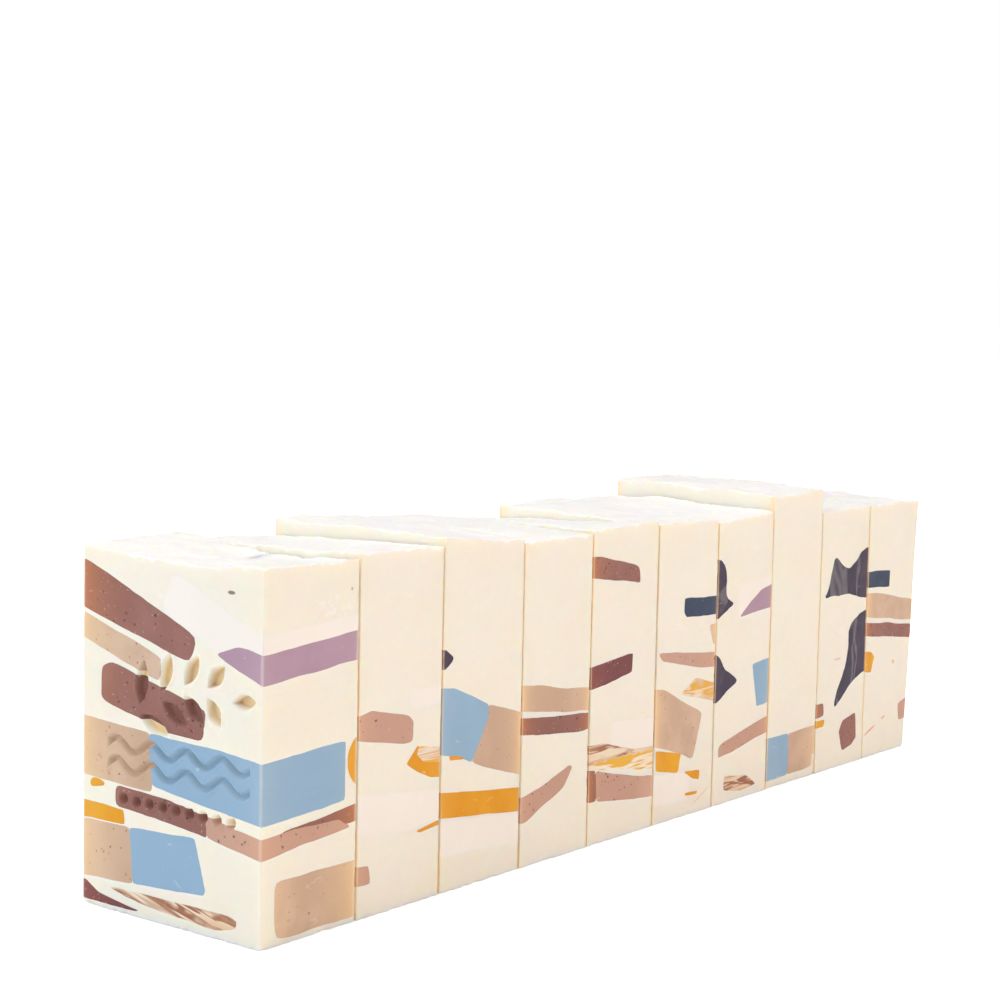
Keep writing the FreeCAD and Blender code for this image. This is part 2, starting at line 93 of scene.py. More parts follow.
# How much each bar's top climbs from its front to its back, at its left and right edges.
TOP_CLIMB = {
    "bar_01": (0.8, -0.4),
    "bar_02": (-1.6, 0.0),
    "bar_03": (-0.6, -2.8),
    "bar_04": (-1.4, 0.0),
    "bar_05": (-1.6, 0.0),
    "bar_06": (0.4, -0.8),
    "bar_07": (1.2, 0.8),
    "bar_08": (0.6, 0.9),
    "bar_09": (0.0, 0.4),
    "bar_10": (0.0, -0.6),
}


# ---- seeded noise --------------------------------------------------------------------------


def hashed(ix, iy, iz, seed):
    """A repeatable number from -1 to 1 for each lattice corner."""
    with np.errstate(over="ignore"):
        h = ix.astype(np.uint32) * np.uint32(374761393)
        h = h + iy.astype(np.uint32) * np.uint32(668265263)
        h = h + iz.astype(np.uint32) * np.uint32(2246822519) + np.uint32(seed * 3266489917 % 2**32)
        h = (h ^ (h >> np.uint32(13))) * np.uint32(1274126177)
        h = h ^ (h >> np.uint32(16))
    return h.astype(np.float64) / 2**31 - 1.0


def noise(points, feature, seed):
    """Smooth value noise from -1 to 1, with features about this many millimetres across."""
    p = points / feature + 1000.0
    cell = np.floor(p).astype(np.int64)
    f = p - cell
    f = f * f * f * (f * (f * 6 - 15) + 10)
    total = np.zeros(len(points))
    for dx in (0, 1):
        wx = f[:, 0] if dx else 1 - f[:, 0]
        for dy in (0, 1):
            wy = f[:, 1] if dy else 1 - f[:, 1]
            for dz in (0, 1):
                wz = f[:, 2] if dz else 1 - f[:, 2]
                corner = hashed(cell[:, 0] + dx, cell[:, 1] + dy, cell[:, 2] + dz, seed)
                total += wx * wy * wz * corner
    return total


def layered(points, feature, seed, layers=3):
    """Noise at several scales, each half the size and strength of the one before."""
    total = np.zeros(len(points))
    for layer in range(layers):
        total += noise(points, feature / 2**layer, seed + 17 * layer) / 2**layer
    return total


def ramp(value, low, high):
    """0 below low, 1 above high, smooth between."""
    t = np.clip((value - low) / (high - low), 0, 1)
    return t * t * (3 - 2 * t)


# ---- the pressed relief on the front bar ---------------------------------------------------

STAMP_DEPTH = 1.6
RIM_HEIGHT = 0.28
RIM_ROOM = RIM_HEIGHT + 0.05
STAMP_AREA = (-20.5, 25.4, 22.5, 61.0)  # left, right, bottom, top
RELIEF_STEP = 0.27
LEAF_PAIRS = 4
LEAF_SPREAD = 52
LEAF_WIDTH = 3.6
LEAF_FOOT_GAP = 1.1
WAVE_HEIGHTS = (37.0, 32.5)
WAVE_LEFT = -19.0
WAVE_RIGHT = 24.0
WAVE_COUNT = 4
WAVE_SWING = 1.3
WAVE_HALF_WIDTH = 0.85
DOT_COUNT = 9
DOT_LEFT = -14.0
DOT_SPACING = 4.1
DOT_HEIGHT = 25.3
DOT_RADIUS = 1.25


def stem_point(share):
    """A point on the sprig's stem, from its foot at 0 to its tip at 1."""
    return np.array((-12.0 + 31.0 * share, 43.5 + 7.0 * share + 4.0 * math.sin(math.pi * share)))


def leaf_inside(x, z, foot, angle, length, width):
    """How far inside a leaf's outline each point is, as a share of its half width."""
    along = (math.cos(math.radians(angle)), math.sin(math.radians(angle)))
    u = ((x - foot[0]) * along[0] + (z - foot[1]) * along[1]) / length
    v = np.abs(-(x - foot[0]) * along[1] + (z - foot[1]) * along[0])
    half = width / 2 * np.clip(1 - (2 * u - 1) ** 2, 0, None)
    edge = np.minimum(half - v, length * np.minimum(u, 1 - u) + 0.15)
    return edge


def stamp_edges(x, z):
    """Distance inside the nearest pressed outline, in mm; negative outside."""
    inside = np.full(len(x), -9.0)
    for pair in range(LEAF_PAIRS):
        share = 0.10 + 0.22 * pair
        foot = stem_point(share)
        ahead = stem_point(share + 0.05) - foot
        heading = math.degrees(math.atan2(ahead[1], ahead[0]))
        leaf_length = 9.6 - 0.9 * pair
        for side in (1, -1):
            start = foot + (0, side * LEAF_FOOT_GAP)
            turned = heading + side * LEAF_SPREAD
            edge = leaf_inside(x, z, start, turned, leaf_length, LEAF_WIDTH)
            inside = np.maximum(inside, edge)
    inside = np.maximum(inside, leaf_inside(x, z, stem_point(1.0), 8, 6.5, 3.4))
    for height in WAVE_HEIGHTS:
        turn = 2 * math.pi * WAVE_COUNT / (WAVE_RIGHT - WAVE_LEFT)
        phase = turn * (x - WAVE_LEFT)
        slope = WAVE_SWING * turn * np.cos(phase)
        off = np.abs(z - height - WAVE_SWING * np.sin(phase)) / np.sqrt(1 + slope**2)
        edge = np.minimum(WAVE_HALF_WIDTH - off, np.minimum(x - WAVE_LEFT, WAVE_RIGHT - x))
        inside = np.maximum(inside, edge)
    for dot in range(DOT_COUNT):
        off = np.hypot(x - DOT_LEFT - DOT_SPACING * dot, z - DOT_HEIGHT)
        inside = np.maximum(inside, DOT_RADIUS - off)
    return inside


def relief(points):
    """How far each front-face point is pushed in (positive) or squeezed out (negative)."""
    x, z = points[:, 0], points[:, 2]
    wobble = 0.07 * layered(points, 2.2, 301, 2)
    edge = stamp_edges(x, z) + wobble
    floor = STAMP_DEPTH * ramp(edge, -0.02, 0.62)
    squeezed = RIM_HEIGHT * np.exp(-(((edge + 0.45) / 0.33) ** 2))
    squeezed *= 0.65 + 0.5 * noise(points, 1.6, 302)
    return floor - np.maximum(squeezed, 0)


# ---- the rough block of one bar ------------------------------------------------------------


GRID_STEP = 1.0
TOP_GRID_STEP = 0.7
NEAR_EDGE = np.array((0.0, 0.12, 0.3, 0.6, 1.1, 1.8))
EDGE_RADIUS = 0.20
POURED_DEPTH = 12.0


def lines(low, high, step, fine=None):
    """Grid positions from low to high, closer at both ends and in the (from, to, step) part."""
    stretches = [(low + NEAR_EDGE[-1], high - NEAR_EDGE[-1], step)]
    if fine:
        start, end, fine_step = fine
        stretches = [(stretches[0][0], start, step), fine, (end, stretches[0][1], step)]
    found = [low + NEAR_EDGE[:-1]]
    for start, end, spacing in stretches:
        count = max(2, round((end - start) / spacing))
        found.append(np.linspace(start, end, count, endpoint=False))
    found.append(high - NEAR_EDGE[::-1])
    return np.concatenate(found)


def box_surface(xs, ys, zs):
    """Points and quads of a closed box surface on these grid lines."""
    n = (len(xs), len(ys), len(zs))
    index = np.full(n, -1, np.int64)
    shell = np.zeros(n, bool)
    for axis in range(3):
        for end in (0, -1):
            place = [slice(None)] * 3
            place[axis] = end
            shell[tuple(place)] = True
    index[shell] = np.arange(shell.sum())
    i, j, k = np.nonzero(shell)
    points = np.stack((xs[i], ys[j], zs[k]), axis=1)
    quads = []
    for axis in range(3):
        for end in (0, -1):
            sheet = np.take(index, end, axis=axis)
            corners = (sheet[:-1, :-1], sheet[1:, :-1], sheet[1:, 1:], sheet[:-1, 1:])
            face = np.stack([c.ravel() for c in corners], axis=1)
            outward = (end == -1) != (axis == 1)
            quads.append(face if outward else face[:, ::-1])
    return points, np.concatenate(quads)


def cad_points(node):
    found = np.empty(len(frame["nodes"][node].data.vertices) * 3, np.float32)
    frame["nodes"][node].data.vertices.foreach_get("co", found)
    return found.reshape(-1, 3).astype(float) / MM


def top_profile(node):
    """The CAD block's top as (X positions, heights)."""
    points = cad_points(node)
    low, high = points[:, 0].min(), points[:, 0].max()
    places = (low, 0.0, high)
    heights = [points[np.abs(points[:, 0] - x) < 0.05, 2].max() for x in places]
    return places, heights


class Bar:
    """Where one bar's faces are, and how its rough block is shaped."""

    def __init__(self, name):
        self.name = name
        self.number = BARS.index(name)
        self.pressed = name == FRONT_BAR
        self.block = f"{name}_{CREAM}"
        low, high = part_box(self.block)
        self.low = np.array(low) / MM
        self.high = np.array(high) / MM
        self.tops = top_profile(self.block)
        self.leaning = self.find_lean()
        self.seed = 1000 * (self.number + 1)

    def grid(self):
        across = (STAMP_AREA[0], STAMP_AREA[1], RELIEF_STEP) if self.pressed else None
        upward = (STAMP_AREA[2], STAMP_AREA[3], RELIEF_STEP) if self.pressed else None
        xs = lines(self.low[0], self.high[0], TOP_GRID_STEP, across)
        ys = lines(self.low[1], self.high[1], TOP_GRID_STEP)
        zs = lines(0.0, self.high[2], GRID_STEP, upward)
        return xs, ys, zs

    def top_at(self, x, y):
        """The poured top's height: its slope, its waves and its torn edges."""
        climb_left, climb_right = TOP_CLIMB[self.name]
        level = np.interp(x, *self.tops)
        across = (x - self.low[0]) / (self.high[0] - self.low[0])
        along = (y - self.low[1]) / (self.high[1] - self.low[1]) - 0.5
        level = level + along * (climb_left * (1 - across) + climb_right * across)
        flat = np.stack((x, y, np.zeros(len(x))), axis=1)
        level += 0.55 * noise(flat, 11.0, self.seed + 1) + 0.16 * layered(flat, 5.5, self.seed + 2)
        ridge = 1 - np.abs(noise(flat, 4.2, self.seed + 3))
        level += 0.16 * (ridge**3 - 0.4)
        edge = np.minimum.reduce(
            (x - self.low[0], self.high[0] - x, y - self.low[1], self.high[1] - y)
        )
        torn = np.maximum(0, layered(flat, 1.8, self.seed + 4, 2) - 0.1)
        level -= 0.7 * torn * np.exp(-np.maximum(edge, 0) / 0.8)
        return np.minimum(level, LOAF_TOP - 0.05)

    def shape(self, points):
        """Rounds and chips the edges, pours the top, warps the cut faces, presses the relief."""
        low, high = self.low.copy(), self.high.copy()
        chip = layered(points, 2.4, self.seed + 5, 2)
        radius = EDGE_RADIUS + 0.40 * np.maximum(0, chip - 0.35)
        radius = radius[:, None]
        inner = np.clip(points, low + radius, high - radius)
        out = points - inner
        length = np.linalg.norm(out, axis=1, keepdims=True)
        shaped = np.where(length > 1e-9, inner + out / np.maximum(length, 1e-9) * radius, points)
        rise = ramp(points[:, 2], self.high[2] - POURED_DEPTH, self.high[2])
        shaped[:, 2] += rise * (self.top_at(points[:, 0], points[:, 1]) - self.high[2])
        self.lean(points, shaped)
        self.warp(points, shaped)
        if self.pressed:
            self.press(points, shaped)
        return shaped

    def find_lean(self):
        """How far the CAD block's back face stands in at its foot, and up to what height."""
        corners = cad_points(self.block)
        foot = corners[corners[:, 2] < 0.1, 1].max()
        return self.high[1] - foot, corners[corners[:, 1] > self.high[1] - 0.05, 2].max()

    def back_at(self, z):
        """Where the back face is at this height."""
        foot_inset, height = self.leaning
        return self.high[1] - foot_inset * np.clip(1 - z / height, 0, 1)

    def lean(self, points, shaped):
        """Slants the block's length evenly, so that its back face follows the CAD's."""
        along = np.clip((points[:, 1] - self.low[1]) / (self.high[1] - self.low[1]), 0, 1)
        shaped[:, 1] -= along * (self.high[1] - self.back_at(points[:, 2]))

    def warp(self, points, shaped):
        """Wire-cut faces that bow a little, and a bar that stands a hair out of line."""
        middle = (self.low + self.high) / 2
        half = (self.high - self.low) / 2
        side = np.clip((points - middle) / half, -1, 1)
        bow = 0.05 + 0.05 * noise(points, 26.0, self.seed + 6)
        shaped[:, 1] -= side[:, 1] * bow
        shaped[:, 0] -= side[:, 0] * (0.10 + 0.08 * noise(points, 30.0, self.seed + 7))
        drag = np.stack((points[:, 0] * 0.05, points[:, 1] * 0.05, points[:, 2]), axis=1)
        shaped[:, 0] -= side[:, 0] * 0.03 * layered(drag, 1.6, self.seed + 8, 2)
        shaped[:, 1] -= side[:, 1] * 0.03 * layered(drag, 1.6, self.seed + 9, 2)
        crumbs = np.maximum(0, layered(points, 1.5, self.seed + 10, 2))
        low_edge = np.exp(-points[:, 2] / 0.8) * crumbs * 0.5
        shaped[:, 1] -= side[:, 1] * low_edge
        shaped[:, 0] -= side[:, 0] * low_edge

    def press(self, points, shaped):
        """Sets the front face back by the rim's height, then presses the relief into it."""
        front = points[:, 1] < self.low[1] + 1e-6
        near = 1 - ramp(points[:, 1], self.low[1], self.low[1] + 3.0)
        shaped[:, 1] += RIM_ROOM * near
        shaped[front, 1] += relief(points[front])

    def edge_glow(self, points):
        """1 on a vertical edge of the bar, fading away from it: light gets through there."""
        side = np.minimum(np.abs(points[:, 0] - self.low[0]), np.abs(self.high[0] - points[:, 0]))
        end = np.minimum(np.abs(points[:, 1] - self.low[1]), np.abs(self.high[1] - points[:, 1]))
        reach = 5.5 if self.pressed else 2.5
        return np.exp(-np.maximum(side, end) / reach)

    def seam_glow(self, points):
        """1 just inside the narrow gap to the next bar, where the light turns amber."""
        gaps = []
        if self.number > 0:
            gaps.append(np.abs(points[:, 1] - self.low[1]))
        if self.number < len(BARS) - 1:
            gaps.append(np.abs(self.high[1] - points[:, 1]))
        gap = np.minimum.reduce(gaps)
        side = np.minimum(np.abs(points[:, 0] - self.low[0]), np.abs(self.high[0] - points[:, 0]))
        patchy = 0.65 + 0.5 * noise(points, 16.0, 77)
        return np.exp(-gap / 0.16) * np.exp(-side / 1.3) * np.clip(patchy, 0.1, 1.0)

    def pressed_in(self, points):
        """0 on the front face, 1 on the floor of the pressed relief."""
        if not self.pressed:
            return np.zeros(len(points))
        level = self.low[1] + RIM_ROOM
        left, right, bottom, top = STAMP_AREA
        near = (points[:, 0] > left) & (points[:, 0] < right) & (points[:, 2] > bottom)
        near &= (points[:, 2] < top) & (points[:, 1] < level + 2.0)
        return np.where(near, np.clip((points[:, 1] - level - 0.2) / STAMP_DEPTH, 0, 1), 0)


def new_object(name, points, faces):
    mesh = bpy.data.meshes.new(name)
    mesh.from_pydata(points.tolist(), [], faces.tolist())
    mesh.update()
    obj = bpy.data.objects.new(name, mesh)
    bpy.context.scene.collection.objects.link(obj)
    return obj


# ---- chunks: the CAD solids, softened, as cutting tools ------------------------------------

# How often each colour's corners are smoothed: some offcuts had softened more than others.
SMOOTHING = {
    "brown": 3,
    "pink": 4,
    "plum": 2,
    "tan": 2,
    "blue": 1,
    "lilac": 2,
    "white": 3,
    "mustard": 1,
    "marbled": 3,
    "navy": 1,
    "teal": 1,
}
# Where a spread or torn offcut's outline wanders further than a plain one's.
WANDER = {"navy": 2.4}
OVERSHOOT = 4.0
BEHIND_RELIEF = 1.9
ON_FACE = 0.02
GROWTH = 0.12
SEED_TRIES = 3
SEED_STEP = 30
CLEAN_SHARE = (0.7, 1.35)
skin = bpy.data.materials.new("uncut_skin")
cut_face = bpy.data.materials.new("cut_face")


def colour_of(node):
    """The colour in a node name such as bar_03_blue_chunks."""
    return node.split("_")[2]


def cut_off_relief(bm, bar):
    """Takes the pressed front off a chunk and runs its section straight out again."""
    level = bar.low[1] + BEHIND_RELIEF
    everything = list(bm.verts) + list(bm.edges) + list(bm.faces)
    cut = bmesh.ops.bisect_plane(
        bm, geom=everything, plane_co=(0, level, 0), plane_no=(0, 1, 0), clear_inner=True
    )
    ring = [e for e in cut["geom_cut"] if isinstance(e, bmesh.types.BMEdge)]
    if not ring:
        return
    bmesh.ops.holes_fill(bm, edges=ring, sides=0)
    caps = [f for f in bm.faces if all(abs(v.co.y - level) < 1e-4 for v in f.verts)]
    grown = bmesh.ops.extrude_face_region(bm, geom=caps)
    moved = [v for v in grown["geom"] if isinstance(v, bmesh.types.BMVert)]
    bmesh.ops.translate(bm, verts=moved, vec=(0, -BEHIND_RELIEF - OVERSHOOT, 0))
    bmesh.ops.delete(bm, geom=caps, context="FACES")


def push_out(bm, bar):
    """Moves the chunk's trimmed faces out past the bar, so that the rough block cuts them."""
    for v in bm.verts:
        for axis in (0, 1):
            far_face = bar.back_at(v.co.z) if axis else bar.high[0]
            if abs(v.co[axis] - bar.low[axis]) < ON_FACE:
                v.co[axis] -= OVERSHOOT
            elif abs(v.co[axis] - far_face) < ON_FACE:
                v.co[axis] += OVERSHOOT


def soften(bm, smoothing, wander, seed):
    """Rounds the corners and gives the straight cuts a hand-cut wander."""
    bmesh.ops.dissolve_limit(bm, angle_limit=math.radians(2), verts=bm.verts, edges=bm.edges)
    bmesh.ops.triangulate(bm, faces=bm.faces)
    for longest in (12.0, 6.0, 3.0, 1.6):
        long_edges = [e for e in bm.edges if e.calc_length() > longest]
        bmesh.ops.subdivide_edges(bm, edges=long_edges, cuts=1)
        bmesh.ops.triangulate(bm, faces=bm.faces)
    for _ in range(smoothing):
        bmesh.ops.smooth_vert(
            bm, verts=bm.verts, factor=0.5, use_axis_x=True, use_axis_y=True, use_axis_z=True
        )
    bm.verts.ensure_lookup_table()
    places = np.array([v.co for v in bm.verts])
    bm.normal_update()
    normals = np.array([v.normal for v in bm.verts])
    places += GROWTH * normals
    for axis in (1, 2, 0):
        wide = noise(places, 7.0, seed + axis)
        fine = noise(places, 2.2, seed + 5 + axis)
        places[:, axis] += wander * (0.20 * wide + 0.09 * fine)
    for v, place in zip(bm.verts, places):
        v.co = place


def chunk_tool(node, bar, smoothing, seed):
    """A CAD chunk made into a softened cutting tool that runs out past the bar."""
    bm = bmesh.new()
    bm.from_mesh(frame["nodes"][node].data)
    bmesh.ops.scale(bm, vec=(1 / MM,) * 3, verts=bm.verts)
    bmesh.ops.remove_doubles(bm, verts=bm.verts, dist=0.002)
    if bar.pressed:
        cut_off_relief(bm, bar)
    push_out(bm, bar)
    soften(bm, smoothing, WANDER.get(colour_of(node), 1.0), seed)
    bmesh.ops.recalc_face_normals(bm, faces=bm.faces)
    mesh = bpy.data.meshes.new("tool_" + node)
    bm.to_mesh(mesh)
    bm.free()
    mesh.materials.append(cut_face)
    obj = bpy.data.objects.new("tool_" + node, mesh)
    bpy.context.scene.collection.objects.link(obj)
    return obj


def volume(mesh):
    bm = bmesh.new()
    bm.from_mesh(mesh)
    found = bm.calc_volume()
    bm.free()
    return found


def good_tool(node, bar, rough):
    """The most rounded version of a chunk that still cuts cleanly out of the block.

    The chunks of a bar share one seed where they can, so that touching ones stay in contact.
    """
    expected = volume(frame["nodes"][node].data) / MM**3
    amounts = (SMOOTHING[colour_of(node)], 1, 0)
    seeds = [bar.seed + SEED_STEP * place for place in range(SEED_TRIES)]
    for smoothing, seed in itertools.product(amounts, seeds):
        tool = chunk_tool(node, bar, smoothing, seed)
        trial = cut_mesh("trial", rough, [("INTERSECT", tool)])
        share = volume(trial) / expected
        bpy.data.meshes.remove(trial)
        if CLEAN_SHARE[0] < share < CLEAN_SHARE[1]:
            return tool
        print("chunk", node, "smoothed", smoothing, "times, seed", seed, "share", round(share, 2))
        bpy.data.objects.remove(tool)
    raise RuntimeError(node + " doesn't cut cleanly")


def cut_mesh(name, base, steps):
    """The base's mesh after boolean steps, each an (operation, tool) pair."""
    work = bpy.data.objects.new(name + "_work", base.data)
    bpy.context.scene.collection.objects.link(work)
    for operation, tool in steps:
        modifier = work.modifiers.new(operation, "BOOLEAN")
        modifier.operation = operation
        modifier.object = tool
        modifier.solver = "MANIFOLD"
        modifier.material_mode = "TRANSFER"
    bpy.context.view_layer.update()
    evaluated = work.evaluated_get(bpy.context.evaluated_depsgraph_get())
    mesh = bpy.data.meshes.new_from_object(evaluated)
    mesh.name = name
    bpy.data.objects.remove(work)
    return mesh


def finish_mesh(mesh, bar):
    """Stores the glow near the bar's edges, then turns millimetres into metres."""
    count = len(mesh.vertices)
    places = np.empty(count * 3, np.float32)
    mesh.vertices.foreach_get("co", places)
    places = places.reshape(-1, 3)
    kept = (
        ("edge_glow", bar.edge_glow),
        ("seam_glow", bar.seam_glow),
        ("pressed_in", bar.pressed_in),
    )
    for label, amount in kept:
        layer = mesh.attributes.new(label, "FLOAT", "POINT")
        layer.data.foreach_set("value", amount(places.astype(float)).astype(np.float32))
    normals = np.empty(count * 3, np.float32)
    mesh.vertices.foreach_get("normal", normals)
    on_top = mesh.attributes.new("on_top", "FLOAT", "POINT")
    on_top.data.foreach_set("value", ramp(normals[2::3], 0.45, 0.85).astype(np.float32))
    mesh.vertices.foreach_set("co", (places * MM).ravel())
    mesh.polygons.foreach_set("use_smooth", np.ones(len(mesh.polygons), bool))
    mesh.set_sharp_from_angle(angle=math.radians(62 if bar.pressed else 40))
    sharpen_cut(mesh)
    mesh.update()


def sharpen_cut(mesh):
    """Keeps a hard edge wherever a chunk's side meets the bar's own surface."""
    bm = bmesh.new()
    bm.from_mesh(mesh)
    for edge in bm.edges:
        if len({f.material_index for f in edge.link_faces}) > 1:
            edge.smooth = False
    for face in bm.faces:
        face.material_index = 0
    bm.to_mesh(mesh)
    bm.free()


# ---- materials -----------------------------------------------------------------------------


class Nodes:
    """A short way to write a material's node tree."""

    def __init__(self, name):
        self.material = bpy.data.materials.new(name)
        self.material.use_nodes = True
        self.tree = self.material.node_tree
        self.shader = self.tree.nodes["Principled BSDF"]
        self.place = self.tree.nodes.new("ShaderNodeTexCoord").outputs["Object"]

    def node(self, kind, **inputs):
        made = self.tree.nodes.new(kind)
        for key, value in inputs.items():
            self.put(made.inputs[key.replace("_", " ")], value)
        return made

    def put(self, socket, value):
        if isinstance(value, bpy.types.NodeSocket):
            self.tree.links.new(value, socket)
        else:
            socket.default_value = value

    def stretched(self, x=1.0, y=1.0, z=1.0, offset=0.0, tilt=0.0):
        """The object's place, turned by tilt about the loaf's length, then scaled."""
        mapping = self.node("ShaderNodeMapping", Vector=self.place)
        mapping.vector_type = "TEXTURE"
        mapping.inputs["Scale"].default_value = (1 / x, 1 / y, 1 / z)
        mapping.inputs["Rotation"].default_value = (0.0, math.radians(tilt), 0.0)
        mapping.inputs["Location"].default_value = (offset, offset * 0.7, offset * 1.3)
        return mapping.outputs["Vector"]

    def cloud(self, size_mm, vector=None, detail=3.0, distortion=0.0):
        made = self.node("ShaderNodeTexNoise", Scale=1000 / size_mm, Detail=detail)
        made.inputs["Distortion"].default_value = distortion
        self.put(made.inputs["Vector"], vector or self.place)
        return made.outputs["Fac"]

    def cells(self, size_mm, vector=None):
        """(distance to the nearest cell centre, that cell's random colour)."""
        made = self.node("ShaderNodeTexVoronoi", Scale=1000 / size_mm)
        self.put(made.inputs["Vector"], vector or self.place)
        return made.outputs["Distance"], made.outputs["Color"]

    def between(self, value, low, high, out_low=0.0, out_high=1.0):
        made = self.node("ShaderNodeMapRange", Value=value)
        made.interpolation_type = "SMOOTHSTEP"
        made.inputs["From Min"].default_value = low
        made.inputs["From Max"].default_value = high
        made.inputs["To Min"].default_value = out_low
        made.inputs["To Max"].default_value = out_high
        return made.outputs["Result"]

    def maths(self, operation, a, b=0.0):
        made = self.tree.nodes.new("ShaderNodeMath")
        made.operation = operation
        self.put(made.inputs[0], a)
        self.put(made.inputs[1], b)
        return made.outputs["Value"]

    def mix(self, share, a, b):
        made = self.tree.nodes.new("ShaderNodeMix")
        made.data_type = "RGBA"
        self.put(made.inputs["Factor"], share)
        self.put(made.inputs[6], colour(a))
        self.put(made.inputs[7], colour(b))
        return made.outputs[2]

    def attribute(self, name):
        made = self.tree.nodes.new("ShaderNodeAttribute")
        made.attribute_name = name
        return made.outputs["Fac"]

    def bump(self, height, strength, distance_mm, normal=None):
        made = self.node("ShaderNodeBump", Height=height, Strength=strength)
        made.inputs["Distance"].default_value = distance_mm * MM
        if normal:
            self.put(made.inputs["Normal"], normal)
        return made.outputs["Normal"]


def colour(value):
    if isinstance(value, bpy.types.NodeSocket):
        return value
    return (*value, 1.0)


def specks(n, size_mm, share, radius, offset):
    """A mask of small irregular grains: 1 inside one."""
    wander = n.node("ShaderNodeTexNoise", Scale=1000 / (size_mm * 0.6), Detail=1.0)
    n.put(wander.inputs["Vector"], n.place)
    moved = n.tree.nodes.new("ShaderNodeVectorMath")
    moved.operation = "MULTIPLY_ADD"
    n.put(moved.inputs[0], wander.outputs["Color"])
    moved.inputs[1].default_value = (size_mm * 0.5 * MM,) * 3
    n.put(moved.inputs[2], n.stretched(offset=offset))
    distance, random_colour = n.cells(size_mm, moved.outputs["Vector"])
    split = n.node("ShaderNodeSeparateColor", Color=random_colour)
    chosen = n.between(split.outputs["Red"], 1 - share, 1 - share + 0.02)
    grown = n.maths("MULTIPLY", split.outputs["Green"], radius)
    grown = n.maths("ADD", grown, radius * 0.35)
    grain = n.maths("SUBTRACT", grown, distance)
    return n.maths("MULTIPLY", chosen, n.between(grain, 0.0, 0.08))


def surface(n, roughness, gloss=0.0):
    """Wire drag lines, fine grain and pinholes; satin roughness that varies."""
    lines_up = n.cloud(0.9, n.stretched(0.04, 0.04, 1.0), 3.0)
    grain = n.cloud(0.5, detail=2.0)
    soft = n.cloud(6.0, detail=2.0)
    holes = specks(n, 3.5, 0.10, 0.10, 4.0)
    normal = n.bump(lines_up, 0.30, 0.10)
    normal = n.bump(soft, 0.25, 0.30, normal)
    normal = n.bump(grain, 0.16, 0.06, normal)
    normal = n.bump(n.maths("SUBTRACT", 1.0, holes), 0.5, 0.12, normal)
    n.put(n.shader.inputs["Normal"], normal)
    varied = n.between(n.cloud(4.0), 0.3, 0.7, roughness - 0.07, roughness + 0.10)
    n.put(n.shader.inputs["Roughness"], varied)
    n.shader.inputs["Specular IOR Level"].default_value = 0.28
    n.shader.inputs["Coat Weight"].default_value = gloss
    n.shader.inputs["Coat Roughness"].default_value = 0.25


# The amber of the light painted into the narrow gaps between bars.
SEAM_LIGHT_AMBER = (0.88, 0.48, 0.10)


def finish_colour(n, tone, glow_tone, glow, relief_shade_tone):
    """Paints light and shade into the tone: a warm glow near the bar's edges, amber light in the
    gaps, a highlight on the corners, and shade deep in the pressed relief.
    """
    # Painted light: near the bar's edges the tone turns towards glow_tone, standing in for light
    # shining through the thin soap there.
    near_edge = n.maths("MULTIPLY", n.attribute("edge_glow"), glow)
    tone = n.mix(near_edge, tone, glow_tone)
    height = n.node("ShaderNodeSeparateXYZ", Vector=n.place).outputs["Z"]
    ragged = n.maths("ADD", height, n.maths("MULTIPLY", n.cloud(2.5), -2.6 * MM))
    crumbs = n.between(ragged, -0.9 * MM, -0.1 * MM, 0.75, 0.0)
    tone = n.mix(crumbs, tone, (0.93, 0.91, 0.89))
    # Painted light: in the narrow gaps the tone turns amber and gives off a faint amber emission,
    # standing in for light coming through the soap.
    gap = n.attribute("seam_glow")
    tone = n.mix(n.maths("MULTIPLY", gap, 0.8), tone, SEAM_LIGHT_AMBER)
    n.shader.inputs["Emission Color"].default_value = colour(SEAM_LIGHT_AMBER)
    n.put(n.shader.inputs["Emission Strength"], n.maths("MULTIPLY", gap, 0.22))
    # Painted highlight: right on the bar's corners the tone turns pale, standing in for the light
    # the edge catches.
    painted_corner_highlight = n.between(n.attribute("edge_glow"), 0.84, 0.97, 0.0, 0.4)
    tone = n.mix(painted_corner_highlight, tone, (0.97, 0.95, 0.91))
    # Painted shade: the tone darkens towards the floor of the pressed relief, where shade falls.
    tone = n.mix(n.maths("MULTIPLY", n.attribute("pressed_in"), 0.8), tone, relief_shade_tone)
    n.put(n.shader.inputs["Base Color"], tone)


def mark(n, bar, x, along, up, radii, tilt=0.0):
    """A mask for one oval mark, placed from a bar's own front edge and foot, in mm."""
    low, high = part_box(f"{bar}_{CREAM}")
    centre = (high[0] - x * MM, low[1] + along * MM, low[2] + up * MM)
    mapping = n.node("ShaderNodeMapping", Vector=n.place)
    mapping.vector_type = "TEXTURE"
    mapping.inputs["Location"].default_value = centre
    mapping.inputs["Rotation"].default_value = (math.radians(tilt), 0.0, 0.0)
    mapping.inputs["Scale"].default_value = tuple(r * MM for r in radii)
    length = n.tree.nodes.new("ShaderNodeVectorMath")
    length.operation = "LENGTH"
    n.put(length.inputs[0], mapping.outputs["Vector"])
    return n.between(length.outputs["Value"], 1.0, 0.6)


